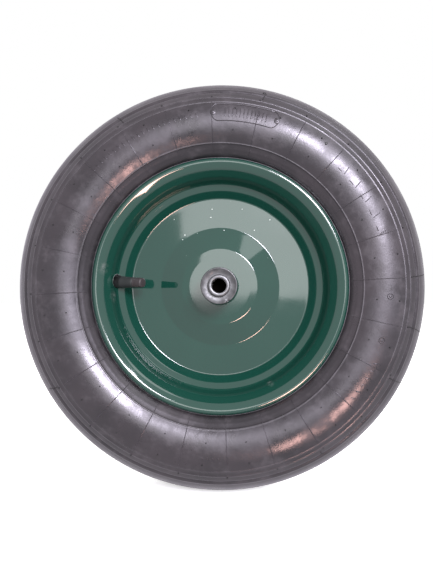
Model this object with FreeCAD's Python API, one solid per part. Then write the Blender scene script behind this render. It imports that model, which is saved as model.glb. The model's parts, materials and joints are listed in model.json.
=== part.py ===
import FreeCAD, Part
import math
import os

from FreeCAD import Placement, Rotation, Vector

# Pneumatic barrow wheel, in millimetres. The wheel turns about the Y axis and its centre is the
# origin. The valve side, called the front, faces -Y, and the back faces +Y.
# Round pieces are drawn as a half section in r, the distance from the wheel's axis, and h, the
# height above the wheel's middle plane, and are then turned about the axis.

# Driving dimensions -------------------------------------------------------------------------

TYRE_R = 190.0            # tread at the middle plane
TYRE_HALF_WIDTH = 46.0    # middle plane to the fattest point of the sidewall
TREAD_GROOVES = (-22.0, -7.5, 7.5, 22.0)
TREAD_GROOVE_DEPTH = 3.0
TREAD_GROOVE_WIDTH = 4.2

SHEET = 2.0               # thickness of the pressed rim halves
BEAD_SEAT_R = 101.6       # where the tyre's bead sits, half of 8 inches
FLANGE_TOP_H = 34.6
DISC_OUTER_R = 84.6       # the two discs touch each other at the middle plane
CONE_FOOT_R = 56.4
DOME_R = 35.4
DOME_H = 11.6

HUB_TUBE_R = 16.0
HUB_TUBE_INNER_R = 13.5
HUB_TUBE_HALF = 45.6
HUB_HALF = 49.5           # end faces of the inner races
BORE_R = 6.35             # for a half-inch axle

BALL_R = 2.0
BALL_COUNT = 11
BALL_PITCH_R = 10.8
BALL_H = 40.5             # height of a row of balls above the middle plane
BALL_PLAY = 0.03
RACE_LOW_H = 36.5
OUTER_RACE_HIGH_H = 44.6
INNER_RACE_R = 9.6
OUTER_RACE_BORE_R = 12.2

VALVE_ANGLE = 177.5       # degrees round the wheel, from +X towards +Z
VALVE_TILT = 30.0         # degrees from the wheel's radius towards the front
VALVE_SEAT = (95.6, 13.5)
VALVE_TIP = 30.7          # from the rim wall to the end of the cap
VALVE_HOLE_R = 6.6
CAP_LENGTH = 10.0
CAP_R = 4.6
THREAD_R = 3.87
THREAD_PLAY = 0.05


# Outlines and solids ------------------------------------------------------------------------

def point(r, h):
    return Vector(r, h, 0)


def line(a, b):
    return Part.LineSegment(point(*a), point(*b)).toShape()


def arc(a, via, b):
    return Part.Arc(point(*a), point(*via), point(*b)).toShape()


def opposite(place):
    """The same place on the other side of the middle plane."""
    return (place[0], -place[1])


def rounded(corners):
    """Edges of a closed outline through (r, h, radius) corners, each rounded by a tangent arc."""
    stops = []
    for i, corner in enumerate(corners):
        here = point(*corner[:2])
        radius = corner[2] if len(corner) > 2 else 0.0
        if radius == 0:
            stops.append((here, None, here))
            continue
        back = (point(*corners[i - 1][:2]) - here).normalize()
        onward = (point(*corners[(i + 1) % len(corners)][:2]) - here).normalize()
        half_angle = back.getAngle(onward) / 2
        reach = radius / math.tan(half_angle)
        depth = radius / math.sin(half_angle) - radius
        middle = here + (back + onward).normalize() * depth
        stops.append((here + back * reach, middle, here + onward * reach))
    edges = []
    for i, (first, middle, last) in enumerate(stops):
        if middle is not None:
            edges.append(Part.Arc(first, middle, last).toShape())
        following = stops[(i + 1) % len(stops)][0]
        if last.distanceToPoint(following) > 1e-6:
            edges.append(Part.LineSegment(last, following).toShape())
    return edges


def turned(edges):
    """Revolve a closed outline about the wheel's axis."""
    return Part.Face(Part.Wire(edges)).revolve(Vector(0, 0, 0), Vector(0, 1, 0), 360)


def ring(inner_r, outer_r, low_h, high_h):
    return turned(rounded([(inner_r, low_h), (outer_r, low_h), (outer_r, high_h), (inner_r, high_h)]))


def far_side(corners, thickness):
    """The hidden side of bent sheet: an open run of corners moved to its right."""
    moved = []
    for i, (r, h, radius) in enumerate(corners):
        here = point(r, h)
        ways = []
        if i > 0:
            ways.append((here - point(*corners[i - 1][:2])).normalize())
        if i < len(corners) - 1:
            ways.append((point(*corners[i + 1][:2]) - here).normalize())
        rights = [Vector(way.y, -way.x, 0) for way in ways]
        shift = rights[0] * thickness
        bend = 0.0
        if len(rights) == 2:
            shift = (rights[0] + rights[1]) * (thickness / (1 + rights[0].dot(rights[1])))
            turns_left = ways[0].cross(ways[1]).z > 0
            bend = radius + thickness if turns_left else radius - thickness
        moved.append((here.x + shift.x, here.y + shift.y, bend))
    return moved


def sheet_metal(corners, thickness):
    """Revolved sheet, whose visible side follows the corners."""
    return turned(rounded(list(corners) + far_side(corners, thickness)[::-1]))


def on_front(shape):
    """Turn a piece drawn with h upwards, which lies on the back, over to the front."""
    return shape.rotate(Vector(0, 0, 0), Vector(1, 0, 0), 180)


# Rim ----------------------------------------------------------------------------------------

RIM_FACE = [
    (HUB_TUBE_R, DOME_H, 0.0),
    (28.8, DOME_H, 12.0),
    (DOME_R, DOME_H - 0.3, 3.0),
    (CONE_FOOT_R, SHEET, 2.0),
    (DISC_OUTER_R, SHEET, 2.0),
    (90.3, 8.9, 8.0),
    (96.8, 12.4, 4.6),
    (BEAD_SEAT_R - SHEET, 24.5, 4.0),
    (106.6, 30.6, 6.0),
    (113.9, FLANGE_TOP_H, 2.6),
    (115.0, 31.2, 0.0),
]


def rim_half():
    return sheet_metal(RIM_FACE, SHEET)


def rim_seam_weld():
    """Weld bead in the groove between the two halves, under the inner tube."""
    root = (DISC_OUTER_R + 0.7, 0.3)
    bend = (DISC_OUTER_R + 1.5, 0.76)
    bend_end = (DISC_OUTER_R + 2.2, 1.32)
    top = (DISC_OUTER_R + 3.6, 2.95)
    middle = (DISC_OUTER_R + 3.2, 0.0)
    return turned([
        arc(root, bend, bend_end),
        line(bend_end, top),
        arc(top, middle, opposite(top)),
        line(opposite(top), opposite(bend_end)),
        arc(opposite(bend_end), opposite(bend), opposite(root)),
        line(opposite(root), root),
    ])


def hub_weld():
    """Small fillet between the hub tube and the crown of a rim half."""
    leg = 1.5
    foot = (HUB_TUBE_R + leg, DOME_H)
    top = (HUB_TUBE_R, DOME_H + leg)
    root = (HUB_TUBE_R, DOME_H)
    hollow = (HUB_TUBE_R + leg * 0.42, DOME_H + leg * 0.42)
    return turned([line(root, foot), arc(foot, hollow, top), line(top, root)])


# Hub and bearings ---------------------------------------------------------------------------

def hub_tube():
    edge = 0.4
    side = HUB_TUBE_R - edge
    end = HUB_TUBE_HALF - edge
    return turned(rounded([
        (HUB_TUBE_INNER_R, -HUB_TUBE_HALF), (side, -HUB_TUBE_HALF), (HUB_TUBE_R, -end),
        (HUB_TUBE_R, end), (side, HUB_TUBE_HALF), (HUB_TUBE_INNER_R, HUB_TUBE_HALF),
    ]))


def ball_groove():
    """The space that the balls sweep, with a little play, cut out of both races."""
    section = Part.Circle(point(BALL_PITCH_R, BALL_H), Vector(0, 0, 1), BALL_R + BALL_PLAY)
    return turned([section.toShape()])


def inner_race():
    """Inner race, whose rounded nose stands out of the hub round the axle bore."""
    chamfer = 0.5
    race = turned(rounded([
        (BORE_R, RACE_LOW_H), (INNER_RACE_R, RACE_LOW_H), (INNER_RACE_R, HUB_HALF, 1.6),
        (BORE_R + chamfer, HUB_HALF), (BORE_R, HUB_HALF - chamfer),
    ]))
    return race.cut(ball_groove())


def outer_race():
    race = turned(rounded([
        (OUTER_RACE_BORE_R, RACE_LOW_H), (HUB_TUBE_INNER_R, RACE_LOW_H, 0.6),
        (HUB_TUBE_INNER_R, OUTER_RACE_HIGH_H), (OUTER_RACE_BORE_R, OUTER_RACE_HIGH_H),
    ]))
    return race.cut(ball_groove())


def spacer_sleeve():
    """Tube on the axle that holds the two inner races apart."""
    wall = 1.65
    return ring(BORE_R, BORE_R + wall, -RACE_LOW_H, RACE_LOW_H)


def ball_angle(i):
    return 2 * math.pi * (i + 0.5) / BALL_COUNT


def balls():
    row = []
    for i in range(BALL_COUNT):
        angle = ball_angle(i)
        centre = Vector(BALL_PITCH_R * math.cos(angle), BALL_H, BALL_PITCH_R * math.sin(angle))
        row.append(Part.makeSphere(BALL_R, centre))
    return Part.makeCompound(row)


def ball_cage():
    """Ring that keeps the balls apart, with a round pocket for each ball."""
    half_thickness = 0.4
    half_height = 3.0
    cage = ring(BALL_PITCH_R - half_thickness, BALL_PITCH_R + half_thickness,
                BALL_H - half_height, BALL_H + half_height)
    pockets = []
    for i in range(BALL_COUNT):
        angle = ball_angle(i)
        across = Vector(math.cos(angle), 0, math.sin(angle))
        pockets.append(Part.makeCylinder(BALL_R + 0.05, BALL_PITCH_R + 2, Vector(0, BALL_H, 0), across))
    return cage.cut(pockets)


def dust_shield():
    """Dished cover on the end of the hub, over the end of its tube and the outer race."""
    inner_r = 10.0
    base_h = HUB_TUBE_HALF
    inner_low = (inner_r, base_h)
    outer_low = (HUB_TUBE_R, base_h)
    side_top = (HUB_TUBE_R, base_h + 1.0)
    lip = (HUB_TUBE_R - 1.0, base_h + 2.0)
    inner_top = (inner_r, base_h + 1.1)
    return turned([
        line(inner_low, outer_low),
        line(outer_low, side_top),
        arc(side_top, (HUB_TUBE_R - 0.3, base_h + 1.7), lip),
        arc(lip, (12.4, base_h + 0.8), inner_top),
        line(inner_top, inner_low),
    ])


# Tyre and inner tube ------------------------------------------------------------------------

TOE = (100.9, 18.2)
HEEL = (102.1, 23.6)
BEAD_SIDE = [HEEL, (107.9, 28.4), (112.9, 29.8), (115.9, 30.2), (117.4, 33.4)]
SIDEWALL_TOP = (172.0, 37.0)
CARCASS_FOOT = (112.0, 24.6)
CARCASS_BULGE = (146.0, 41.2)
CARCASS_TOP = (172.0, 29.0)
CARCASS_CROWN_R = 180.8
BEAD_WIRE_CENTRE = (106.4, 24.2)
BEAD_WIRE_R = 1.9


def tread_groove(groove_h):
    crown_radius = 54.0
    floor_r = TYRE_R - groove_h ** 2 / (2 * crown_radius) - TREAD_GROOVE_DEPTH
    floor_half = TREAD_GROOVE_WIDTH * 0.3
    mouth_half = TREAD_GROOVE_WIDTH * 0.7
    clear_r = TYRE_R + 2.0
    return turned(rounded([
        (floor_r, groove_h - floor_half, 0.4), (floor_r, groove_h + floor_half, 0.4),
        (clear_r, groove_h + mouth_half), (clear_r, groove_h - mouth_half),
    ]))


def tyre():
    """Tyre with a bead on each side, a rounded crown and four grooves round its tread."""
    bulge = (148.5, TYRE_HALF_WIDTH)
    shoulder = (183.3, 23.3)
    crown_edge = (188.6, 10.6)
    foot = BEAD_SIDE[-1]
    front_half = [
        line(CARCASS_FOOT, TOE),
        line(TOE, HEEL),
        *[line(a, b) for a, b in zip(BEAD_SIDE, BEAD_SIDE[1:])],
        arc(foot, bulge, SIDEWALL_TOP),
        arc(SIDEWALL_TOP, shoulder, crown_edge),
    ]
    back_half = [
        arc(opposite(crown_edge), opposite(shoulder), opposite(SIDEWALL_TOP)),
        arc(opposite(SIDEWALL_TOP), opposite(bulge), opposite(foot)),
        *[line(opposite(b), opposite(a)) for a, b in reversed(list(zip(BEAD_SIDE, BEAD_SIDE[1:])))],
        line(opposite(HEEL), opposite(TOE)),
        line(opposite(TOE), opposite(CARCASS_FOOT)),
    ]
    inside = [
        arc(opposite(CARCASS_FOOT), opposite(CARCASS_BULGE), opposite(CARCASS_TOP)),
        arc(opposite(CARCASS_TOP), (CARCASS_CROWN_R, 0.0), CARCASS_TOP),
        arc(CARCASS_TOP, CARCASS_BULGE, CARCASS_FOOT),
    ]
    crown = [arc(crown_edge, (TYRE_R, 0.0), opposite(crown_edge))]
    body = turned(front_half + crown + back_half + inside)
    wire_space = bead_wire(BEAD_WIRE_R + 0.02)
    grooves = [tread_groove(groove_h) for groove_h in TREAD_GROOVES]
    return body.cut(grooves + [wire_space, on_front(bead_wire(BEAD_WIRE_R + 0.02))])


def bead_wire(radius):
    """Ring of steel wire inside the bead."""
    section = Part.Circle(point(*BEAD_WIRE_CENTRE), Vector(0, 0, 1), radius)
    return turned([section.toShape()])


def tube_outline(gap):
    """Outline of the inner tube, a stated gap inside the tyre."""
    foot = (CARCASS_FOOT[0] + gap, CARCASS_FOOT[1] - gap)
    bulge = (CARCASS_BULGE[0], CARCASS_BULGE[1] - gap)
    top = (CARCASS_TOP[0] - gap * 0.7, CARCASS_TOP[1] - gap * 0.7)
    crown = (CARCASS_CROWN_R - gap, 0.0)
    well = (90.6 + gap, 3.4)
    knee = (100.8 + gap * 0.5, 13.4 - gap * 0.5)
    return [
        line(opposite(well), well),
        line(well, knee),
        line(knee, foot),
        arc(foot, bulge, top),
        arc(top, crown, opposite(top)),
        arc(opposite(top), opposite(bulge), opposite(foot)),
        line(opposite(foot), opposite(knee)),
        line(opposite(knee), opposite(well)),
    ]


def inner_tube(stem):
    """Hollow rubber ring with a hole where the valve's stem is bonded in."""
    gap = 0.5
    wall = 1.8
    stem_hole = on_valve([(0, STEM_BOTTOM - 1), (STEM_FOOT_R, STEM_BOTTOM - 1), (STEM_FOOT_R, STEM_WAIST),
                          (STEM_R, STEM_WAIST), (STEM_R, 0), (0, 0)])
    shell = turned(tube_outline(gap)).cut(turned(tube_outline(gap + wall)))
    return shell.cut(stem_hole).cut(stem)


# Valve, drawn as half sections in radius and distance outward from the rim wall -----------------

STEM_BOTTOM = -9.0
STEM_WAIST = -6.0
STEM_FOOT_R = 10.5
STEM_R = 5.4
STEM_TOP = 20.4
INSERT_R = 3.1
INSERT_TOP = 28.4
AIRWAY_R = 1.0
CHAMBER_R = 1.9
CHAMBER_FLOOR = 12.0
CORE_LOW = 17.6
CORE_HIGH = 26.6
PIN_R = 0.7
PIN_COLLAR = 15.9
CAP_START = VALVE_TIP - CAP_LENGTH
CAP_CEILING = VALVE_TIP - 1.2


def valve_place():
    """Placement that carries +Z onto the valve's axis, with its zero at the rim wall."""
    turn = math.radians(VALVE_ANGLE)
    tilt = math.radians(VALVE_TILT)
    outward = Vector(math.cos(turn), 0, math.sin(turn))
    seat_r, seat_h = VALVE_SEAT
    axis = outward * -math.cos(tilt) + Vector(0, -math.sin(tilt), 0)
    return Placement(outward * seat_r + Vector(0, -seat_h, 0), Rotation(Vector(0, 0, 1), axis))


def on_valve(corners):
    """Turn an outline about the valve's axis."""
    solid = turned(rounded(corners)).rotate(Vector(0, 0, 0), Vector(1, 0, 0), 90)
    solid.Placement = valve_place().multiply(solid.Placement)
    return solid


def valve_hole():
    """Round hole for the stem in the front half's wall."""
    reach = 7.0
    return on_valve([(0, -reach), (VALVE_HOLE_R, -reach), (VALVE_HOLE_R, reach), (0, reach)])


def valve_stem():
    """Rubber stem, whose broad foot is bonded into the wall of the inner tube."""
    return on_valve([
        (INSERT_R, STEM_BOTTOM), (STEM_FOOT_R, STEM_BOTTOM), (STEM_FOOT_R, STEM_BOTTOM + 1.4),
        (STEM_R, STEM_WAIST), (STEM_R, 2.0), (4.7, STEM_TOP, 0.8), (INSERT_R, STEM_TOP),
    ])


def valve_insert():
    """Brass insert moulded into the stem, threaded outside for the cap and hollow for the core."""
    return on_valve([
        (AIRWAY_R, STEM_BOTTOM), (INSERT_R, STEM_BOTTOM), (INSERT_R, STEM_TOP), (THREAD_R, STEM_TOP),
        (THREAD_R, INSERT_TOP - 0.6), (THREAD_R - 0.6, INSERT_TOP), (CHAMBER_R, INSERT_TOP),
        (CHAMBER_R, CHAMBER_FLOOR), (AIRWAY_R, CHAMBER_FLOOR),
    ])


def valve_core():
    """Small brass plug in the insert, which guides the pin."""
    bore = PIN_R + THREAD_PLAY
    return on_valve([
        (bore, CORE_LOW), (CHAMBER_R, CORE_LOW), (CHAMBER_R, CORE_LOW + 6.0), (1.5, CORE_LOW + 6.4),
        (1.5, CORE_HIGH), (bore, CORE_HIGH),
    ])


def valve_pin():
    """Pin that opens the valve when it is pressed in, with a collar for its seal and spring."""
    return on_valve([
        (0, CHAMBER_FLOOR + 0.8), (PIN_R, CHAMBER_FLOOR + 0.8), (PIN_R, PIN_COLLAR), (1.6, PIN_COLLAR),
        (1.6, PIN_COLLAR + 0.5), (PIN_R, PIN_COLLAR + 0.5), (PIN_R, INSERT_TOP - 0.4),
        (0, INSERT_TOP - 0.4),
    ])


def valve_seal():
    """Washer on the pin's collar that closes the lower end of the core."""
    return on_valve([
        (PIN_R, PIN_COLLAR + 0.5), (1.5, PIN_COLLAR + 0.5), (1.5, CORE_LOW), (PIN_R, CORE_LOW),
    ])


def valve_spring():
    """Coil spring under the pin's collar."""
    wire_r = 0.16
    coil_r = 1.3
    turns = 4
    low = CHAMBER_FLOOR + wire_r + 0.02
    height = PIN_COLLAR - wire_r - 0.02 - low
    path = Part.makeHelix(height / turns, height, coil_r)
    section = Part.Circle(Vector(coil_r, 0, 0), Vector(0, 1, 0), wire_r).toShape()
    coil = Part.Wire(path).makePipeShell([Part.Wire(section)], True, True)
    coil.translate(Vector(0, 0, low))
    coil.Placement = valve_place().multiply(coil.Placement)
    return coil


def valve_cap():
    """Plastic cap with a domed end and grip flutes, screwed onto the insert."""
    bore = THREAD_R + THREAD_PLAY
    cap = on_valve([
        (bore, CAP_START), (CAP_R, CAP_START, 0.3), (CAP_R - 0.15, VALVE_TIP, 1.2), (0, VALVE_TIP),
        (0, CAP_CEILING), (bore, CAP_CEILING),
    ])
    flute_count = 14
    flutes = []
    for i in range(flute_count):
        angle = 2 * math.pi * i / flute_count
        flute = Part.makeCylinder(0.35, CAP_LENGTH - 2.6, Vector(CAP_R * math.cos(angle) * 1.02,
                                  CAP_R * math.sin(angle) * 1.02, CAP_START - 0.5))
        flute.Placement = valve_place().multiply(flute.Placement)
        flutes.append(flute)
    return cap.cut(flutes)


def cap_seal():
    """Rubber washer between the insert's end and the cap's inner end."""
    return on_valve([(1.4, INSERT_TOP), (3.6, INSERT_TOP), (3.6, CAP_CEILING), (1.4, CAP_CEILING)])


# Writing the parts --------------------------------------------------------------------------

def save(name, shape):
    if not shape.isValid():
        raise ValueError(name + " is not a valid shape")
    shape.exportStep("parts/" + name + ".step")
    print("%-20s %10.1f mm3 %3d solid(s)" % (name, shape.Volume, len(shape.Solids)))


def save_pair(name, make):
    """A piece that the hub or rim has on both sides."""
    save(name + "_back", make())
    save(name + "_front", on_front(make()))


def build():
    os.makedirs("parts", exist_ok=True)
    stem = valve_stem()
    save("tyre", tyre())
    save_pair("bead_wire", lambda: bead_wire(BEAD_WIRE_R))
    save("inner_tube", inner_tube(stem))
    save("rim_half_back", rim_half())
    save("rim_half_front", on_front(rim_half()).cut(valve_hole()))
    save("rim_seam_weld", rim_seam_weld())
    save("hub_tube", hub_tube())
    save_pair("hub_weld", hub_weld)
    save_pair("outer_race", outer_race)
    save_pair("inner_race", inner_race)
    save_pair("bearing_balls", balls)
    save_pair("ball_cage", ball_cage)
    save_pair("dust_shield", dust_shield)
    save("spacer_sleeve", spacer_sleeve())
    save("valve_stem", stem)
    save("valve_insert", valve_insert())
    save("valve_core", valve_core())
    save("valve_pin", valve_pin())
    save("valve_seal", valve_seal())
    save("valve_spring", valve_spring())
    save("valve_cap", valve_cap())
    save("cap_seal", cap_seal())


build()
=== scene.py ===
import json
import math
import random

import bpy
import numpy as np
from mathutils import Matrix, Vector


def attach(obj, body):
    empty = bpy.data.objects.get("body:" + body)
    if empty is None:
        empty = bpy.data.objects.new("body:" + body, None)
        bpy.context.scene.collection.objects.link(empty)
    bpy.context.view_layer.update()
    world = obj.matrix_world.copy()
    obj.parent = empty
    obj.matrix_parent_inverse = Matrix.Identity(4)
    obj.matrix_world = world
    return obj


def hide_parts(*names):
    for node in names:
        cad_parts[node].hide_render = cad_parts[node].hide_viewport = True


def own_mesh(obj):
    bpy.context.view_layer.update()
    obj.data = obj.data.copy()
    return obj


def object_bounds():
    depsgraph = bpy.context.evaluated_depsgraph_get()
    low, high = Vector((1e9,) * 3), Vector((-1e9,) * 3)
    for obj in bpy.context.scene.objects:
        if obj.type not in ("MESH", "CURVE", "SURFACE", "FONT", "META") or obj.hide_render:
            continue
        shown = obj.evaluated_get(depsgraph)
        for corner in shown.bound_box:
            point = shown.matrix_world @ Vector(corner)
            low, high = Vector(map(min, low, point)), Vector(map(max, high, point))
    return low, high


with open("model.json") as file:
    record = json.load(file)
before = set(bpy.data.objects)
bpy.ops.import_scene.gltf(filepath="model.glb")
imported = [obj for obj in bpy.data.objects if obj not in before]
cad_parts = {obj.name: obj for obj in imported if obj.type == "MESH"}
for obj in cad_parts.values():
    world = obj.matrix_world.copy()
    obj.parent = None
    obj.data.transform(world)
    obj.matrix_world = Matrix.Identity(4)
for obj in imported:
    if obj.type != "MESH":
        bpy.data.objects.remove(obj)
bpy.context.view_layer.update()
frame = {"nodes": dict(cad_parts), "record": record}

# Wheel of a barrow, valve side towards -Y, turning about Y. Sections are written in millimetres as
# (r, h): r from the wheel's axis and h in front of its middle plane. Angles go round the wheel from
# +X towards +Z, in degrees. Everything else is in metres.

MM = 0.001
RANDOM = random.Random(11)

SEGMENTS = 432            # steps round the rim
TYRE_SEGMENTS = 384
HUB_SEGMENTS = 160
SPOKE_LINES = 24          # raised mould lines on each sidewall
FIRST_LINE = 2.4
LINE_PITCH = 360.0 / SPOKE_LINES


# Sections -----------------------------------------------------------------------------------

def arc_points(a, via, b, count):
    """Points along the circle through three places, both ends included."""
    ax, ay, bx, by, cx, cy = *a, *via, *b
    d = 2 * (ax * (by - cy) + bx * (cy - ay) + cx * (ay - by))
    ux = ((ax**2 + ay**2) * (by - cy) + (bx**2 + by**2) * (cy - ay) + (cx**2 + cy**2) * (ay - by)) / d
    uy = ((ax**2 + ay**2) * (cx - bx) + (bx**2 + by**2) * (ax - cx) + (cx**2 + cy**2) * (bx - ax)) / d
    radius = math.hypot(ax - ux, ay - uy)
    first = math.atan2(ay - uy, ax - ux)
    middle = math.atan2(by - uy, bx - ux)
    last = math.atan2(cy - uy, cx - ux)
    forward = (middle - first) % math.tau < (last - first) % math.tau
    sweep = (last - first) % math.tau if forward else -((first - last) % math.tau)
    return [(ux + radius * math.cos(first + sweep * i / (count - 1)),
             uy + radius * math.sin(first + sweep * i / (count - 1))) for i in range(count)]


def bent(corners, step_deg=6.0):
    """Points of an open run of (r, h, radius) corners, each rounded by a tangent arc."""
    points = []
    for i, (r, h, radius) in enumerate(corners):
        here = Vector((r, h))
        if radius == 0 or i in (0, len(corners) - 1):
            points.append((r, h))
            continue
        back = (Vector(corners[i - 1][:2]) - here).normalized()
        onward = (Vector(corners[i + 1][:2]) - here).normalized()
        half = back.angle(onward) / 2
        reach = radius / math.tan(half)
        depth = radius / math.sin(half) - radius
        first = here + back * reach
        middle = here + (back + onward).normalized() * depth
        last = here + onward * reach
        count = max(3, int(math.degrees(math.pi - 2 * half) / step_deg) + 2)
        points += arc_points(tuple(first), tuple(middle), tuple(last), count)
    return points


def moved_right(corners, distance):
    """The other side of bent sheet: the corners moved to the right of the way they run."""
    moved = []
    for i, (r, h, radius) in enumerate(corners):
        here = Vector((r, h))
        ways = []
        if i > 0:
            ways.append((here - Vector(corners[i - 1][:2])).normalized())
        if i < len(corners) - 1:
            ways.append((Vector(corners[i + 1][:2]) - here).normalized())
        rights = [Vector((way.y, -way.x)) for way in ways]
        shift = rights[0] * distance
        bend = 0.0
        if len(rights) == 2:
            shift = (rights[0] + rights[1]) * (distance / (1 + rights[0].dot(rights[1])))
            turns_left = ways[0].x * ways[1].y - ways[0].y * ways[1].x > 0
            bend = radius + distance if turns_left else radius - distance
        moved.append((r + shift.x, h + shift.y, bend))
    return moved


def spread(points, step):
    """The same polyline with no gap over a step."""
    out = [points[0]]
    for a, b in zip(points, points[1:]):
        pieces = max(1, math.ceil(math.dist(a, b) / step))
        out += [(a[0] + (b[0] - a[0]) * k / pieces, a[1] + (b[1] - a[1]) * k / pieces)
                for k in range(1, pieces + 1)]
    return out


# Meshes -------------------------------------------------------------------------------------

def place(r, h, angle):
    """The point in metres at radius r and height h, at an angle in degrees."""
    turn = math.radians(angle)
    return Vector((r * math.cos(turn), -h, r * math.sin(turn))) * MM


def signed_area(section):
    """Twice the area of a closed outline, positive where it runs to the left."""
    return sum(a[0] * b[1] - b[0] * a[1] for a, b in zip(section, section[1:] + section[:1]))


def loop_faces(rings, count, closed_ring):
    """Quads between neighbouring rings of points; the rings may join up end to end."""
    faces = []
    for i in range(rings if closed_ring else rings - 1):
        j = (i + 1) % rings
        for k in range(count):
            m = (k + 1) % count
            faces.append((i * count + k, i * count + m, j * count + m, j * count + k))
    return faces


def end_caps(rings, count):
    """Faces that close the first and the last of a stack of rings."""
    return [tuple(range(count))[::-1], tuple(range((rings - 1) * count, rings * count))]


def lathe(section, segments):
    """A closed section turned about the wheel's axis: vertices and faces that face outward."""
    section = section if signed_area(section) > 0 else section[::-1]
    turns = np.linspace(0, math.tau, segments, endpoint=False)
    r = np.array([p[0] for p in section])[:, None]
    h = np.array([p[1] for p in section])[:, None]
    x = r * np.cos(turns)
    z = r * np.sin(turns)
    y = np.repeat(-h, segments, axis=1)
    verts = np.stack([x, y, z], axis=2).reshape(-1, 3) * MM
    return verts, loop_faces(len(section), segments, True)


def linked(name, data):
    """A new object of the scene that shows the data."""
    obj = bpy.data.objects.new(name, data)
    bpy.context.scene.collection.objects.link(obj)
    return obj


def mesh_object(name, verts, faces, material):
    mesh = bpy.data.meshes.new(name)
    mesh.from_pydata([tuple(v) for v in verts], [], faces)
    mesh.materials.append(material)
    return linked(name, mesh)


def settle(obj, body, replaces=(), sharp=32.0):
    """Smooth a mesh object up to its sharp edges, and say what it is a piece of."""
    obj.data.shade_smooth()
    obj.data.set_sharp_from_angle(angle=math.radians(sharp))
    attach(obj, body)
    if replaces:
        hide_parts(*replaces)
    return obj


def piece(name, verts, faces, material, body, slot, replaces=(), sharp=32.0):
    return settle(mesh_object(name, verts, faces, material), body, replaces, sharp)


def flipped(section):
    """The same section on the back of the wheel."""
    return [(r, -h) for r, h in section]


class Blob:
    """Gathers many small solids into one mesh."""

    def __init__(self):
        self.verts = []
        self.faces = []

    def add(self, verts, faces):
        base = len(self.verts)
        self.verts += [tuple(v) for v in verts]
        self.faces += [tuple(base + i for i in face) for face in faces]

    def tube(self, spine, radii, sides=6):
        """A tube with closed ends along a list of points."""
        ring = []
        for i, here in enumerate(spine):
            way = (spine[min(i + 1, len(spine) - 1)] - spine[max(i - 1, 0)]).normalized()
            side = way.cross(Vector((0, 1, 0)))
            side = side.normalized() if side.length > 1e-6 else Vector((1, 0, 0))
            up = way.cross(side)
            for k in range(sides):
                turn = math.tau * k / sides
                ring.append(here + (side * math.cos(turn) + up * math.sin(turn)) * radii[i])
        self.add(ring, loop_faces(len(spine), sides, False) + end_caps(len(spine), sides))

    def dome(self, centre, axis, radius, height, sides=10):
        """A low round button standing on a surface."""
        axis = axis.normalized()
        side = axis.orthogonal().normalized()
        up = axis.cross(side)
        steps = ((1.0, -0.6), (1.0, 0.45), (0.82, 0.8), (0.45, 0.97))
        turns = [math.tau * k / sides for k in range(sides)]
        verts = [centre + (side * math.cos(turn) + up * math.sin(turn)) * radius * wide
                 + axis * height * high for wide, high in steps for turn in turns]
        self.add(verts, loop_faces(len(steps), sides, False) + end_caps(len(steps), sides))


# Where the valve stands -----------------------------------------------------------------------

VALVE_ANGLE = 177.5
VALVE_TILT = 30.0
VALVE_SEAT = place(95.6, 13.5, VALVE_ANGLE)
VALVE_OUTWARD = place(1000.0, 0.0, VALVE_ANGLE).normalized()
VALVE_AXIS = (VALVE_OUTWARD * -math.cos(math.radians(VALVE_TILT))
              + Vector((0, -math.sin(math.radians(VALVE_TILT)), 0)))
VALVE_UP = (VALVE_OUTWARD * math.sin(math.radians(VALVE_TILT)) + Vector((0, 0, 0.8))
            + Vector((0, -math.cos(math.radians(VALVE_TILT)), 0))).normalized()
VALVE_HOLE = VALVE_SEAT + VALVE_UP * 1.1 * MM
VALVE_HOLE_R = 6.6


# Node materials -----------------------------------------------------------------------------

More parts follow.
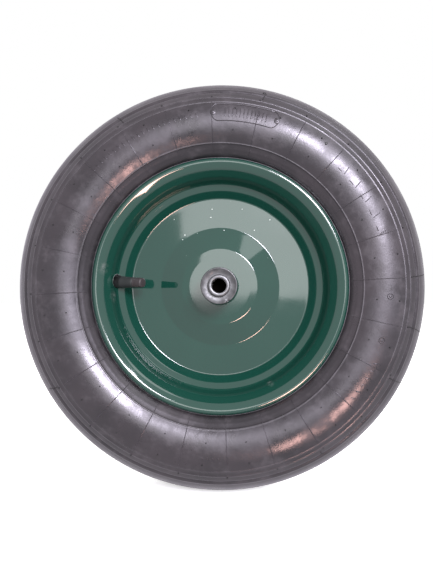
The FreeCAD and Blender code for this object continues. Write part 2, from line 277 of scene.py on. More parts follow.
class Shader:
    """A Principled material with short ways to add procedural textures to it."""

    def __init__(self, name, colour, roughness, metallic=0.0):
        self.material = bpy.data.materials.new(name)
        self.material.use_nodes = True
        self.nodes = self.material.node_tree.nodes
        self.links = self.material.node_tree.links
        self.bsdf = self.nodes["Principled BSDF"]
        self.bsdf.inputs["Base Color"].default_value = (*colour, 1)
        self.bsdf.inputs["Roughness"].default_value = roughness
        self.bsdf.inputs["Metallic"].default_value = metallic
        self.where = self.nodes.new("ShaderNodeTexCoord").outputs["Object"]

    def put(self, slot, value):
        """Link a socket into a slot, or set the slot to a plain value."""
        if isinstance(value, bpy.types.NodeSocket):
            self.links.new(value, slot)
        else:
            slot.default_value = value

    def node(self, kind, **inputs):
        made = self.nodes.new("ShaderNode" + kind)
        for key, value in inputs.items():
            self.put(made.inputs[key], value)
        return made

    def noise(self, scale, detail=3.0, rough=0.55):
        made = self.node("TexNoise", Vector=self.where, Scale=scale, Detail=detail, Roughness=rough)
        return made.outputs[0]

    def band(self, value, low, high, to_low=0.0, to_high=1.0):
        """Value from low to high, spread smoothly over to_low to to_high."""
        made = self.node("MapRange", Value=value)
        made.interpolation_type = "SMOOTHSTEP"
        for end, start, finish in (("Min", low, to_low), ("Max", high, to_high)):
            made.inputs["From " + end].default_value = start
            made.inputs["To " + end].default_value = finish
        return made.outputs[0]

    def math(self, operation, a, b):
        made = self.node("Math")
        made.operation = operation
        for slot, value in zip(made.inputs, (a, b)):
            self.put(slot, value)
        return made.outputs[0]

    def vector_math(self, operation, *values):
        made = self.node("VectorMath")
        made.operation = operation
        for slot, value in zip(made.inputs, values):
            self.put(slot, value)
        return made.outputs

    def mix(self, factor, a, b):
        """From colour a to colour b as the factor goes from 0 to 1."""
        made = self.node("Mix")
        made.data_type = "RGBA"
        for index, value in ((0, factor), (6, a), (7, b)):
            self.put(made.inputs[index], (*value, 1) if isinstance(value, tuple) else value)
        return made.outputs[2]

    def radius(self):
        """Distance from the wheel's axis, in metres."""
        split = self.node("SeparateXYZ", Vector=self.where)
        squares = [self.math("POWER", split.outputs[i], 2.0) for i in (0, 2)]
        return self.math("SQRT", self.math("ADD", *squares), 0.0)

    def near(self, centre, reach):
        """One at a point, falling to nothing at the reach."""
        gap = self.vector_math("DISTANCE", self.where, centre)["Value"]
        return self.band(gap, 0.0, reach, 1.0, 0.0)

    def from_line(self, point, way):
        """Distance from the line through a point, in metres."""
        gap = self.vector_math("SUBTRACT", self.where, point)["Vector"]
        cross = self.vector_math("CROSS_PRODUCT", gap, way)["Vector"]
        return self.vector_math("LENGTH", cross)["Value"]

    def colour(self, socket):
        self.links.new(socket, self.bsdf.inputs["Base Color"])

    def roughness(self, socket):
        self.links.new(socket, self.bsdf.inputs["Roughness"])

    def bump(self, height, distance, strength=1.0):
        made = self.node("Bump", Height=height, Distance=distance, Strength=strength)
        self.links.new(made.outputs[0], self.bsdf.inputs["Normal"])


def green_enamel():
    """Gloss dark green paint: slight orange peel, dust specks, rubbed patches and a pale edge on the
    upper side of the valve hole, bare metal with a painted highlight.
    """
    s = Shader("green_enamel", (0.004, 0.055, 0.04), 0.1)
    s.bsdf.inputs["IOR"].default_value = 1.75
    cloud = s.noise(14.0, 2.0)
    base = s.mix(cloud, (0.0045, 0.0365, 0.0255), (0.0065, 0.0455, 0.0315))
    speck_cells = s.node("TexVoronoi", Vector=s.where, Scale=150.0)
    speck = s.band(speck_cells.outputs["Distance"], 0.05, 0.085, 1.0, 0.0)
    chosen = s.band(s.noise(35.0, 1.0), 0.41, 0.45)
    raised = s.band(s.node("SeparateXYZ", Vector=s.where).outputs[2], 0.022, 0.050)
    on_disc = s.band(s.radius(), 0.083, 0.085, 1.0, 0.0)
    specks = s.math("MULTIPLY", s.math("MULTIPLY", speck, chosen),
                    s.math("MULTIPLY", raised, on_disc))
    rub_grain = s.band(s.noise(160.0, 5.0, 0.7), 0.38, 0.66)
    patches = s.near(place(106.4, 30.4, 171.3), 0.007)
    for r, h, angle, reach in ((98.6, 20.0, 185.6, 0.007), (98.6, 20.0, 297.4, 0.004),
                               (99.8, 24.5, 297.6, 0.004)):
        patches = s.math("MAXIMUM", patches, s.near(place(r, h, angle), reach))
    rub = s.math("MULTIPLY", s.math("MULTIPLY", patches, rub_grain), 0.6)
    worn = s.mix(rub, s.mix(specks, base, (0.75, 0.78, 0.74)), (0.17, 0.18, 0.17))
    # Pale edge on the upper side of the valve hole: partly bare metal, partly a painted highlight
    # where that side catches the light.
    hole_edge = s.band(s.from_line(VALVE_HOLE, VALVE_AXIS), 0.0066, 0.0072, 0.85, 0.0)
    bare_edge_and_highlight = s.math("MULTIPLY", hole_edge, s.near(VALVE_HOLE + VALVE_UP * 0.006, 0.010))
    s.colour(s.mix(bare_edge_and_highlight, worn, (0.70, 0.72, 0.70)))
    wipe = s.band(s.noise(9.0, 4.0, 0.65), 0.35, 0.75, 0.05, 0.13)
    s.roughness(s.math("MAXIMUM", wipe, s.math("MULTIPLY", rub, 0.8)))
    s.bump(s.noise(420.0, 2.0, 0.4), 0.00003, 0.2)
    return s.material


def tyre_rubber():
    """Moulded rubber: charcoal with a faint lilac bloom, paler streaks and a fine grain."""
    s = Shader("tyre_rubber", (0.04, 0.035, 0.042), 0.4)
    bloom = s.noise(11.0, 4.0, 0.6)
    streak = s.noise(60.0, 6.0, 0.7)
    tone = s.mix(s.band(bloom, 0.3, 0.7), (0.011, 0.010, 0.011), (0.027, 0.022, 0.0245))
    tone = s.mix(s.band(streak, 0.48, 0.72, 0.0, 0.6), tone, (0.056, 0.049, 0.053))
    s.colour(tone)
    s.roughness(s.band(s.noise(30.0, 6.0, 0.72), 0.32, 0.68, 0.24, 0.46))
    grain = s.noise(900.0, 3.0, 0.6)
    ripple = s.noise(130.0, 3.0, 0.5)
    s.bump(s.math("ADD", s.math("MULTIPLY", grain, 0.35), ripple), 0.00018, 0.7)
    s.bsdf.inputs["Specular IOR Level"].default_value = 0.7
    s.bsdf.inputs["Specular Tint"].default_value = (0.96, 0.92, 1.0, 1)
    s.bsdf.inputs["Sheen Weight"].default_value = 0.15
    s.bsdf.inputs["Sheen Roughness"].default_value = 0.4
    s.bsdf.inputs["Sheen Tint"].default_value = (0.85, 0.78, 0.95, 1)
    return s.material


def plain_metal(name, dark, light, roughness, scale, metallic=1.0):
    """Machined or plated metal with fine mottling."""
    s = Shader(name, light, roughness, metallic)
    s.colour(s.mix(s.band(s.noise(scale, 4.0, 0.6), 0.35, 0.7), dark, light))
    s.roughness(s.band(s.noise(scale * 2.3, 3.0), 0.3, 0.7, roughness - 0.06, roughness + 0.08))
    s.bump(s.noise(scale * 6.0, 2.0), 0.00003, 0.5)
    return s.material


def soft_black(name, dark, light, low_rough, high_rough, scale):
    """Matt rubber or moulded plastic."""
    s = Shader(name, dark, low_rough)
    s.colour(s.mix(s.noise(scale, 4.0, 0.6), dark, light))
    s.roughness(s.band(s.noise(scale * 1.7, 3.0), 0.3, 0.7, low_rough, high_rough))
    s.bump(s.noise(scale * 9.0, 2.0), 0.00004, 0.6)
    return s.material


def stem_rubber():
    """Matt black rubber, with painted shade that turns it nearly black where it comes out of the rim.
    """
    s = Shader("valve_rubber", (0.012, 0.014, 0.014), 0.55)
    # Painted shade: the stem is darkened to near black round where it comes out of the rim.
    painted_shade_at_root = s.near(VALVE_HOLE + VALVE_UP * 0.004 + VALVE_AXIS * 0.001, 0.0095)
    rubber_tone = s.mix(s.noise(220.0, 4.0, 0.6), (0.008, 0.010, 0.010), (0.024, 0.026, 0.026))
    s.colour(s.mix(painted_shade_at_root, rubber_tone, (0.001, 0.001, 0.001)))
    s.roughness(s.band(s.noise(370.0), 0.3, 0.7, 0.50, 0.66))
    s.bump(s.noise(1980.0, 2.0), 0.00004, 0.6)
    return s.material


MATERIALS = {
    "green_enamel": green_enamel(),
    "tyre_rubber": tyre_rubber(),
    "tube_rubber": soft_black("tube_rubber", (0.02, 0.02, 0.022), (0.045, 0.045, 0.047),
                              0.55, 0.75, 60.0),
    "race_steel": plain_metal("race_steel", (0.15, 0.15, 0.158), (0.21, 0.21, 0.22), 0.44, 260.0),
    "bearing_steel": plain_metal("bearing_steel", (0.50, 0.50, 0.52), (0.62, 0.62, 0.64),
                                 0.18, 200.0),
    "cage_steel": plain_metal("cage_steel", (0.34, 0.34, 0.36), (0.46, 0.46, 0.48), 0.34, 180.0),
    "shield_zinc": plain_metal("shield_zinc", (0.10, 0.10, 0.104), (0.16, 0.16, 0.166),
                               0.47, 230.0, 0.8),
    "brass": plain_metal("brass", (0.58, 0.38, 0.13), (0.78, 0.56, 0.24), 0.28, 240.0),
    "valve_rubber": stem_rubber(),
    "cap_plastic": soft_black("cap_plastic", (0.022, 0.017, 0.018), (0.040, 0.032, 0.034),
                              0.42, 0.55, 300.0),
}
DARK_RUBBER = soft_black("dark_rubber", (0.008, 0.007, 0.008), (0.02, 0.018, 0.02), 0.5, 0.65, 90.0)
BARE_EDGE = plain_metal("bare_edge", (0.60, 0.62, 0.62), (0.80, 0.82, 0.82), 0.25, 300.0)

for row in frame["record"]["subparts"]:
    node = frame["nodes"][row["node"]]
    node.data.materials.clear()
    node.data.materials.append(MATERIALS[row["material_slot"]])


# Tyre ---------------------------------------------------------------------------------------

FOOT = (117.4, 33.4)
SIDEWALL_TOP = (172.0, 37.0)
SIDEWALL = arc_points(FOOT, (148.5, 46.0), SIDEWALL_TOP, 92)
SHOULDER = arc_points(SIDEWALL_TOP, (184.2, 23.6), (188.6, 10.6), 40)
CROWN = arc_points((188.6, 10.6), (190.0, 0.0), (188.6, -10.6), 25)
FLANK = SIDEWALL + SHOULDER[1:]

# Rings moulded round each sidewall, as (radius, half width, height); below zero is a groove.
SIDE_RINGS = ((121.2, 0.9, 0.10), (125.4, 0.5, 0.35), (160.6, 0.5, 0.35), (165.2, 0.6, 0.4),
              (171.9, 0.9, -0.8), (174.4, 0.7, 0.3))
TREAD_GROOVES = (22.0, 7.5)           # each one's h; the back mirrors them
TREAD_GROOVE_DEPTH = 2.6


def flank_at(r):
    """Height and outward normal of the front flank at a radius, rings left out."""
    radii = [p[0] for p in FLANK]
    heights = [p[1] for p in FLANK]
    h = float(np.interp(r, radii, heights))
    ahead = float(np.interp(r + 0.5, radii, heights))
    behind = float(np.interp(r - 0.5, radii, heights))
    slope = ahead - behind            # over one millimetre
    length = math.hypot(slope, 1.0)
    return h, (-slope / length, 1.0 / length)


def on_flank(r, angle, lift=0.0, side=1):
    """A point on a sidewall, raised off it by lift millimetres. Side 1 is the front."""
    h, (nr, nh) = flank_at(r)
    return place(r + nr * lift, side * (h + nh * lift), angle)


def flank_normal(r, angle, side=1):
    _, (nr, nh) = flank_at(r)
    turn = math.radians(angle)
    return Vector((nr * math.cos(turn), -nh * side, nr * math.sin(turn)))


def ringed(points):
    """Add the moulded rings to a run of points on the flank."""
    wanted = set(points)
    for r, half, _ in SIDE_RINGS:
        for k in (-1.6, -1.0, -0.5, 0.0, 0.5, 1.0, 1.6):
            wanted.add((r + half * k, flank_at(r + half * k)[0]))
    out = []
    for r, h in sorted(wanted):
        lift = sum(tall * max(0.0, 1 - ((r - ring_r) / (half * 1.3)) ** 2)
                   for ring_r, half, tall in SIDE_RINGS)
        _, (nr, nh) = flank_at(r)
        out.append((r + nr * lift, h + nh * lift))
    return out


def tread_half():
    """From the shoulder to the middle plane, with the front half's two grooves.

    A groove's wall is (distance across it, share of the full depth).
    """
    surface = SHOULDER[:-1:2] + [p for p in CROWN if p[1] > -0.01]

    def radius_at(h):
        return float(np.interp(-h, [-p[1] for p in surface], [p[0] for p in surface]))

    wall = [(-2.9, 0.0), (-2.2, 0.25), (-1.4, 1.0), (1.4, 1.0), (2.2, 0.25), (2.9, 0.0)]
    points = list(surface)
    for middle in TREAD_GROOVES:
        points = [p for p in points if abs(p[1] - middle) > 2.95]
        for along, deep in wall:
            level = radius_at(middle - along)
            floor = radius_at(middle) - TREAD_GROOVE_DEPTH * deep
            points.append((level if deep == 0 else min(level, floor), middle - along))
    return [(r, h) for r, h in sorted(points, key=lambda p: -p[1]) if r > SIDEWALL_TOP[0]]


def tyre_section():
    """The whole casing: front, middle seam, back, then the inside of the carcass."""
    side = [p for p in ringed(SIDEWALL[:-1:3] + SIDEWALL[-1:]) if p[1] > 0]
    bead = [(100.9, 18.2), (102.1, 23.6), (107.9, 28.4), (112.9, 29.8), (115.9, 30.2)]
    front = bead + side + tread_half()
    carcass = arc_points((112.0, 24.6), (146.0, 41.2), (172.0, 29.0), 9)
    under_tread = arc_points((172.0, 29.0), (180.8, 0.0), (172.0, -29.0), 9)[1:-1]
    inside = carcass + under_tread + flipped(carcass)[::-1]
    seam = [(190.0, 0.35), (190.25, 0.0), (190.0, -0.35)]
    front = [p for p in front if not (p[0] > 188 and abs(p[1]) < 0.6)]
    back = flipped(front)[::-1]
    return front + seam + back + inside[::-1]


piece("tyre_casing", *lathe(tyre_section(), TYRE_SEGMENTS), MATERIALS["tyre_rubber"], "wheel",
      "tyre_rubber", ["tyre"], sharp=50)


def flank_rib(blob, spine, half_width, height, side=1):
    """A raised line on the sidewall along a list of (r, angle) places."""
    profile = ((-1.0, -0.25), (-0.55, 0.8), (0.0, 1.0), (0.55, 0.8), (1.0, -0.25))
    verts = []
    for i, (r, angle) in enumerate(spine):
        ahead = on_flank(*spine[min(i + 1, len(spine) - 1)], 0.0, side)
        behind = on_flank(*spine[max(i - 1, 0)], 0.0, side)
        normal = flank_normal(r, angle, side)
        across = (ahead - behind).normalized().cross(normal).normalized()
        fade = 0.35 if i in (0, len(spine) - 1) else 1.0
        base = on_flank(r, angle, 0.0, side)
        verts += [base + across * wide * half_width * MM
                  + normal * (high if high < 0 else high * fade) * height * MM
                  for wide, high in profile]
    count = len(profile)
    caps = [cap[::-1] for cap in end_caps(len(spine), count)]
    blob.add(verts, loop_faces(len(spine), count, False) + caps)


def rubber_piece(name, blob, material=MATERIALS["tyre_rubber"]):
    return piece(name, blob.verts, blob.faces, material, "wheel", "tyre_rubber")


def mould_lines():
    """Fine radial lines left by the mould, every 15 degrees on both sidewalls."""
    blob = Blob()
    for side in (1, -1):
        for k in range(SPOKE_LINES):
            angle = FIRST_LINE + LINE_PITCH * k + RANDOM.uniform(-0.25, 0.25)
            top = 160.0 + RANDOM.uniform(-1.5, 3.0)
            spine = [(r, angle) for r in np.linspace(118.2, top, 26)]
            flank_rib(blob, spine, 0.40, RANDOM.uniform(0.36, 0.52), side)
    return rubber_piece("tyre_mould_lines", blob)


def vent_pips():
    """Nubs where the mould breathed: two rings between the lines, and one on the lines."""
    blob = Blob()
    for side in (1, -1):
        for k in range(SPOKE_LINES):
            line = FIRST_LINE + LINE_PITCH * k
            for r, angle, size in ((135.8, line + 7.6, 0.62), (154.6, line + 7.4, 0.62),
                                   (166.3, line, 0.7)):
                angle += RANDOM.uniform(-0.35, 0.35)
                r += RANDOM.uniform(-0.4, 0.4)
                blob.dome(on_flank(r, angle, 0.0, side), flank_normal(r, angle, side),
                          size * MM, RANDOM.uniform(0.8, 1.3) * MM)
    for r, angle, size in ((153.2, 53.0, 1.3), (176.0, 76.8, 1.5)):
        blob.dome(on_flank(r, angle), flank_normal(r, angle), size * MM, 0.9 * MM)
    return rubber_piece("tyre_vent_pips", blob, DARK_RUBBER)


def spew_hairs():
    """Thin whiskers of rubber bent down over the shoulder, as (angle, low r, high r, lean)."""
    blob = Blob()
    steps = 12
    front = ((2.7, 168.0, 183.5, 0.5), (331.5, 167.0, 184.5, 0.5), (347.7, 167.5, 183.0, -0.6),
             (301.3, 168.0, 174.0, 1.2), (76.8, 168.0, 175.5, -0.8), (120.5, 167.5, 177.0, 0.7),
             (212.0, 168.0, 178.0, -0.9))
    back = [(RANDOM.uniform(0, 360), 167.0, RANDOM.uniform(175, 184), RANDOM.uniform(-1.2, 1.2))
            for _ in range(7)]
    for side, hairs in ((1, front), (-1, back)):
        for angle, low, high, lean in hairs:
            spine = [on_flank(r, angle + lean * ((r - low) / (high - low)) ** 2, 0.25, side)
                     for r in np.linspace(low, high, steps)]
            blob.tube(spine, [0.36 * MM * (1 - 0.45 * i / (steps - 1)) for i in range(steps)])
    return rubber_piece("tyre_spew_hairs", blob, DARK_RUBBER)


def plain_panel():
    """Blank raised cartouche with a round boss at each end and plain ribs inside it."""
    blob = Blob()
    low, high, inner, outer, corner = 70.0, 92.6, 143.2, 158.2, 2.2
    middle = (inner + outer) / 2
    edge = [(outer, a) for a in np.linspace(low + corner, high - corner, 30)]
    edge += [(middle + (outer - middle) * math.cos(t), high - corner + corner * math.sin(t))
             for t in np.linspace(0.15, math.pi - 0.15, 14)]
    edge += [(inner, a) for a in np.linspace(high - corner, low + corner, 30)]
    edge += [(middle - (outer - middle) * math.cos(t), low + corner - corner * math.sin(t))
             for t in np.linspace(0.15, math.pi - 0.15, 14)]
    flank_rib(blob, edge + edge[:1], 0.42, 0.5)
    for angle in (low + 0.6, high - 0.6):
        blob.dome(on_flank(middle, angle), flank_normal(middle, angle), 2.6 * MM, 0.7 * MM, 20)
        blob.dome(on_flank(middle, angle, 0.5), flank_normal(middle, angle), 1.1 * MM, 0.7 * MM, 14)
    for angle in np.arange(low + 4.2, high - 4.0, 1.25):
        flank_rib(blob, [(r, angle) for r in np.linspace(inner + 3.4, outer - 3.4, 7)], 0.5, 0.55)
    return rubber_piece("tyre_plain_panel", blob)


def plain_marks():
    """Rows of short raised dashes where a tyre carries its markings, and two plain mould rings.

    A row is (first angle, last angle, r, half the dash's height, pitch in degrees).
    """
    blob = Blob()
    rows = ((18.0, 42.0, 147.5, 3.6, 6.0), (97.5, 139.0, 149.0, 1.8, 1.9),
            (320.0, 333.5, 149.3, 2.2, 2.7), (264.5, 270.0, 149.3, 1.6, 1.8))
    for start, stop, r, half_height, pitch in rows:
        tilt = 0.35 if pitch > 2.5 else 0.2
        angle = start
        while angle <= stop:
            dash = [(r + half_height * k, angle + tilt * k) for k in (-1, -0.5, 0, 0.5, 1)]
            flank_rib(blob, dash, 0.45, 0.45)
            if pitch > 5:
                foot = [(r - half_height, angle + 0.9 + 0.5 * k) for k in range(5)]
                flank_rib(blob, foot, 0.45, 0.45)
            angle += pitch
    centre_r, ring_r = 146.3, 2.5
    for angle in (341.3, 356.3):
        ring = [(centre_r + ring_r * math.cos(t),
                 angle + math.degrees(ring_r * math.sin(t) / centre_r))
                for t in np.linspace(0, math.tau, 25)]
        flank_rib(blob, ring, 0.3, 0.5)
        blob.dome(on_flank(centre_r, angle), flank_normal(centre_r, angle), 1.0 * MM, 0.5 * MM, 16)
    return rubber_piece("tyre_plain_marks", blob)


mould_lines()
vent_pips()
spew_hairs()
plain_panel()
plain_marks()


# Rim ----------------------------------------------------------------------------------------

SHEET = 2.0
HUB_R = 16.0              # outside of the hub tube
HUB_HALF = 45.6           # from the middle plane to the tube's end
DOME_H = 11.6             # where the pressing meets the tube
# The pressing's outer face as (r, h, corner radius): dome, cone, disc, wall, bead seat and lip.
RIM_FACE = [(16.05, DOME_H, 0.0), (28.8, DOME_H, 12.0), (35.4, 11.3, 3.0), (56.4, 2.0, 2.0),
            (84.6, 2.0, 2.0), (90.3, 8.9, 8.0), (96.8, 12.4, 4.6), (99.6, 24.5, 3.5),
            (105.7, 31.3, 8.0), (112.8, 35.2, 3.6), (115.1, 31.4, 0.0)]


def rim_section():
    """The pressed sheet: its outer face, then its hidden one."""
    face = spread(bent(RIM_FACE, 4.0), 3.0)
    hidden = spread(bent(moved_right(RIM_FACE, SHEET), 8.0), 8.0)
    return face + hidden[::-1]


def valve_matrix():
    """From the valve's own axis to its place in the rim."""
    turn = Vector((0, 0, 1)).rotation_difference(VALVE_AXIS).to_matrix().to_4x4()
    return Matrix.Translation(VALVE_SEAT) @ turn


def punch_valve_hole(rim):
    """Cut the stem's hole, which leaves bare metal on its edge."""
    sides, reach = 64, 7.0
    ends = [(VALVE_HOLE_R * math.cos(t) * MM, VALVE_HOLE_R * math.sin(t) * MM, end * MM)
            for end in (-reach, reach) for t in np.linspace(0, math.tau, sides, endpoint=False)]
    faces = loop_faces(2, sides, False) + end_caps(2, sides)
    cutter = mesh_object("valve_hole_cutter", ends, faces, BARE_EDGE)
    cutter.matrix_world = Matrix.Translation(VALVE_HOLE - VALVE_SEAT) @ valve_matrix()
    cut = rim.modifiers.new("hole", "BOOLEAN")
    cut.operation = "DIFFERENCE"
    cut.solver = "EXACT"
    cut.material_mode = "TRANSFER"
    cut.object = cutter
    bpy.context.view_layer.update()
    shape = bpy.data.meshes.new_from_object(rim.evaluated_get(bpy.context.evaluated_depsgraph_get()))
    rim.modifiers.clear()
    rim.data = shape
    bpy.data.objects.remove(cutter)


front_rim = mesh_object("rim_front_pressing", *lathe(rim_section(), SEGMENTS),
                        MATERIALS["green_enamel"])
punch_valve_hole(front_rim)
settle(front_rim, "wheel", ["rim_half_front"], 30)
piece("rim_back_pressing", *lathe(flipped(rim_section()), SEGMENTS), MATERIALS["green_enamel"],
      "wheel", "green_enamel", ["rim_half_back"], sharp=30)


# Hub ----------------------------------------------------------------------------------------

def weld_bead(name, side, node):
    """Fillet weld round the hub tube, with the ripple that welding leaves."""
    ripples, segments = 46, 276
    verts = []
    section = [(0.0, -0.2), (1.6, 0.0), (1.25, 0.62), (0.72, 1.1), (0.1, 1.6), (-0.1, 1.5)]
    for out, up in section:
        for k in range(segments):
            angle = 360.0 * k / segments
            turn = math.radians(angle)
            ripple = 1.0 + 0.09 * math.sin(turn * ripples) + 0.05 * math.sin(turn * 7 + 1)
            verts.append(place(HUB_R + out * ripple, side * (DOME_H + up * ripple), angle))
    faces = loop_faces(len(section), segments, True)
    if side > 0:
        faces = [face[::-1] for face in faces]
    return piece(name, verts, faces, MATERIALS["green_enamel"], "wheel", "green_enamel", [node],
                 sharp=60)


def hub_barrel():
    """The hub tube, with a small chamfer at each end."""
    inside, chamfer = 13.5, 0.4
    shoulder = HUB_HALF - chamfer
    section = [(inside, -HUB_HALF), (HUB_R - chamfer, -HUB_HALF), (HUB_R, -shoulder)]
    section += spread([(HUB_R, -shoulder), (HUB_R, shoulder)], 6.0)[1:-1]
    section += [(HUB_R, shoulder), (HUB_R - chamfer, HUB_HALF), (inside, HUB_HALF)]
    return piece("hub_barrel", *lathe(section, HUB_SEGMENTS), MATERIALS["green_enamel"], "wheel",
                 "green_enamel", ["hub_tube"])


def shield_section():
    """A dished cover: rounded rim, then a hollow down to its hole round the race."""
    base, hole = HUB_HALF, 9.75
    rim = arc_points((HUB_R, base + 1.0), (15.7, base + 1.7), (15.0, base + 2.0), 8)
    dish = arc_points((15.0, base + 2.0), (12.4, base + 0.75), (hole, base + 0.35), 16)
    return [(hole, base), (HUB_R, base)] + rim + dish[1:]


def dent_shield(verts):
    """Knock the edge of the front shield in at one place."""
    dent_angle, half_width, inner_r, depth, squeeze = math.radians(-60.0), 2.0, 13.0, 1.0, 0.05
    for i, (x, y, z) in enumerate(verts):
        r = math.hypot(x, z) / MM
        off = math.remainder(math.atan2(z, x) - dent_angle, math.tau) * r
        if r > inner_r and abs(off) < half_width and -y / MM > HUB_HALF + 0.6:
            bite = (1 - (off / half_width) ** 2) * min(1.0, (r - inner_r) / 2.0)
            inward = 1 - squeeze * bite
            verts[i] = (x * inward, y + depth * bite * MM, z * inward)


def dust_shield(name, side, node):
    section = shield_section()
    verts, faces = lathe(section if side > 0 else flipped(section), HUB_SEGMENTS)
    if side > 0:
        dent_shield(verts)
    return piece(name, verts, faces, MATERIALS["shield_zinc"], "wheel", "shield_zinc", [node],
                 sharp=40)


def race(name, side, node):
    """Inner race with its ball track, and the nose that stands through the shield."""
    bore, outside, track, foot, top = 6.35, 9.6, 8.9, 36.5, 49.5
    nose = arc_points((outside, 47.9), (9.131, 49.031), (8.0, top), 9)
    section = [(bore, foot), (outside, foot), (outside, 39.0), (track, 40.0), (track, 41.0)]
    section += [(outside, 42.0)] + nose + [(6.85, top), (6.6, 49.35), (bore, 49.0)]
    section = section if side > 0 else flipped(section)
    return piece(name, *lathe(section, HUB_SEGMENTS), MATERIALS["race_steel"], "axle_set",
                 "race_steel", [node])


hub_barrel()
for side, word in ((1, "front"), (-1, "back")):
    weld_bead("hub_weld_bead_" + word, side, "hub_weld_" + word)
    dust_shield("hub_shield_" + word, side, "dust_shield_" + word)
    race("race_nose_" + word, side, "inner_race_" + word)


# Valve --------------------------------------------------------------------------------------

def valve_lathe(section, segments=72, wobble=None):
    """A closed (radius, distance) section turned about the valve's axis."""
    matrix = valve_matrix()
    verts = []
    for r, along in section:
        for k in range(segments):
            turn = math.tau * k / segments
            wide = r if wobble is None else wobble(r, along, turn)
            spot = (wide * math.cos(turn) * MM, wide * math.sin(turn) * MM, along * MM)
            verts.append(matrix @ Vector(spot))
    faces = loop_faces(len(section), segments, True)
    return verts, faces if signed_area(section) > 0 else [face[::-1] for face in faces]


def valve_stem():
    """Rubber stem with a broad foot, a slight taper and two moulded rings."""
    outside = [(10.5, -9.0), (10.5, -7.6), (8.0, -6.8), (6.0, -6.1), (5.45, -5.2), (5.4, 2.0)]
    outside += [(5.38, 5.0), (5.5, 5.4), (5.5, 6.1), (5.34, 6.5), (5.05, 13.0), (4.86, 17.0)]
    outside += [(4.75, 19.4), (4.55, 20.1), (4.1, 20.4)]
    return piece("valve_stem_rubber", *valve_lathe(outside + [(3.1, 20.4), (3.1, -9.0)]),
                 MATERIALS["valve_rubber"], "wheel", "valve_rubber", ["valve_stem"], sharp=50)


def valve_cap():
    """Cap with shallow grip flutes, a plain collar and a softly domed end."""
    def fluted(r, along, turn):
        if r < 4.3 or not 21.4 < along < 28.4:
            return r
        return r - 0.16 * (0.5 + 0.5 * math.cos(turn * 18)) ** 2

    outside = [(4.35, 20.7), (4.6, 20.9), (4.62, 21.3), (4.58, 21.5)]
    outside += [(4.58 - 0.10 * k / 6, 21.5 + 6.8 * k / 6) for k in range(1, 7)]
    outside += [(4.46, 28.6)] + arc_points((4.44, 29.2), (4.05, 30.2), (3.1, 30.6), 7)
    outside += [(1.6, 30.69), (0.02, 30.7)]
    inside = [(0.02, 29.5), (3.92, 29.5), (3.92, 20.9), (4.05, 20.7)]
    return piece("valve_cap_moulding", *valve_lathe(outside + inside, 144, fluted),
                 MATERIALS["cap_plastic"], "valve_cap", "cap_plastic", ["valve_cap"], sharp=40)


def valve_spring():
    """The coil under the pin's collar, built at one length; the real coil shortens as the pin goes in.
    """
    matrix = valve_matrix()
    floor, collar = 12.02, 15.88          # its two ends along the valve's axis
    wire_r, coil_r, turns, steps = 0.16, 1.3, 4, 32
    low = floor + wire_r
    rise = (collar - floor - 2 * wire_r) / (turns * steps)
    spine = []
    for k in range(turns * steps + 1):
        turn = math.tau * k / steps
        spot = Vector((coil_r * math.cos(turn), coil_r * math.sin(turn), low + rise * k))
        spine.append(matrix @ (spot * MM))
    coil = Blob()
    coil.tube(spine, [wire_r * MM] * len(spine), 10)
    obj = piece("valve_spring_coil", coil.verts, coil.faces, MATERIALS["bearing_steel"], "wheel",
                "bearing_steel", ["valve_spring"])
    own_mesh(obj)
    return obj


valve_stem()
valve_cap()
valve_spring()


# Studio -------------------------------------------------------------------------------------

def bore_shade():
    """Black stage card across the bore, 15.5 mm in from the valve side, which hides what is behind."""
    card_r, card_y, sides = 0.0063, -0.034, 32
    turns = np.linspace(0, math.tau, sides, endpoint=False)
    verts = [(card_r * math.cos(t), card_y, card_r * math.sin(t)) for t in turns]
    s = Shader("black_card", (0.002, 0.002, 0.002), 0.9)
    s.bsdf.inputs["Specular IOR Level"].default_value = 0.0
    s.colour(s.mix(s.noise(90.0), (0.001, 0.001, 0.001), (0.003, 0.002, 0.002)))
    mesh_object("bore_shade", verts, [tuple(range(sides))], s.material)


def pale_floor():
    """Plain floor that glows a little, left out of reflections and bounced light."""
    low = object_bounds()[0]
    reach, gap = 9.0, 0.0003
    verts = [(x * reach, y * reach, low.z - gap) for x, y in ((-1, -1), (1, -1), (1, 1), (-1, 1))]
    s = Shader("floor_paint", (0.93, 0.93, 0.92), 0.8)
    s.colour(s.mix(s.noise(3.0), (0.92, 0.92, 0.91), (0.94, 0.94, 0.93)))
    s.bsdf.inputs["Emission Color"].default_value = (1, 1, 1, 1)
    s.bsdf.inputs["Emission Strength"].default_value = 0.45
    floor = mesh_object("floor", verts, [(0, 1, 2, 3)], s.material)
    floor.visible_glossy = False
    floor.visible_diffuse = False


def area_light(name, direction, distance, size, power, colour=(1, 1, 1)):
    """A square lamp that faces the wheel's middle."""
    light = bpy.data.lights.new(name, "AREA")
    light.shape = "SQUARE"
    light.size = size
    light.energy = power
    light.color = colour
    obj = linked(name, light)
    way = Vector(direction).normalized()
    obj.location = way * distance
    obj.rotation_euler = way.to_track_quat("Z", "Y").to_euler()
    return obj


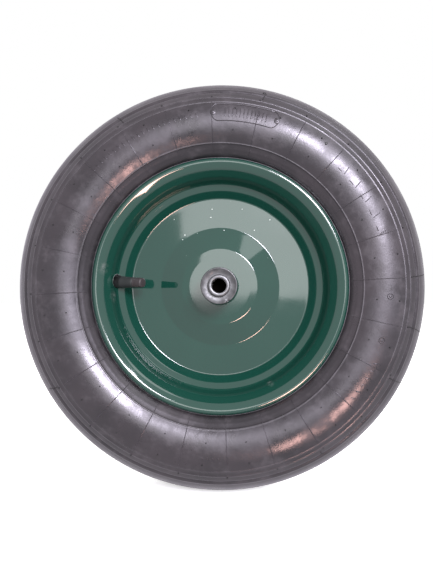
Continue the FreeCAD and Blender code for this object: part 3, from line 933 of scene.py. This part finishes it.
def toward(angle, polar):
    """A direction at an angle round the wheel, leaning out from the front by the polar angle."""
    turn, lean = math.radians(angle), math.radians(polar)
    return (math.sin(lean) * math.cos(turn), -math.cos(lean), math.sin(lean) * math.sin(turn))


def studio():
    """An even pale sky that the camera sees as white, and soft lamps, one of them warmer."""
    world = bpy.data.worlds.new("studio")
    bpy.context.scene.world = world
    world.use_nodes = True
    nodes, links = world.node_tree.nodes, world.node_tree.links
    nodes.clear()
    choose = nodes.new("ShaderNodeMixShader")
    links.new(nodes.new("ShaderNodeLightPath").outputs["Is Camera Ray"], choose.inputs[0])
    for slot, colour in ((1, (0.86, 0.83, 0.86, 1)), (2, (1, 1, 1, 1))):
        background = nodes.new("ShaderNodeBackground")
        background.inputs["Color"].default_value = colour
        links.new(background.outputs[0], choose.inputs[slot])
    links.new(choose.outputs[0], nodes.new("ShaderNodeOutputWorld").inputs["Surface"])

    area_light("key", toward(48, 27), 1.5, 0.40, 26.0, (1.0, 0.97, 1.08))
    area_light("front_soft", toward(62, 16), 1.5, 0.80, 6.0)
    area_light("side_soft", toward(55, 66), 1.8, 0.90, 5.0, (0.97, 1.0, 1.0))
    area_light("warm_lamp", toward(306, 28), 1.5, 0.40, 16.0, (1.0, 0.60, 0.50))
    area_light("back_fill", (0.5, 1.0, 0.8), 1.6, 0.9, 22.0).visible_glossy = False


def camera():
    """The photograph's viewpoint: close to the wheel and a little off its axis."""
    data = bpy.data.cameras.new("camera")
    focal_px, frame_px, sensor = 450.0, 577.0, 36.0
    data.sensor_width = sensor
    data.lens = focal_px * sensor / frame_px
    data.clip_start = 0.01
    data.clip_end = 50.0
    obj = linked("camera", data)
    obj.location = (0.0088, -0.4332, -0.0085)
    azimuth, elevation = math.radians(-1.62), math.radians(0.89)
    way = Vector((math.sin(azimuth) * math.cos(elevation),
                  math.cos(azimuth) * math.cos(elevation), math.sin(elevation)))
    obj.rotation_euler = way.to_track_quat("-Z", "Y").to_euler()
    bpy.context.scene.camera = obj


pale_floor()
bore_shade()
studio()
camera()
bpy.context.scene.view_settings.view_transform = "Standard"
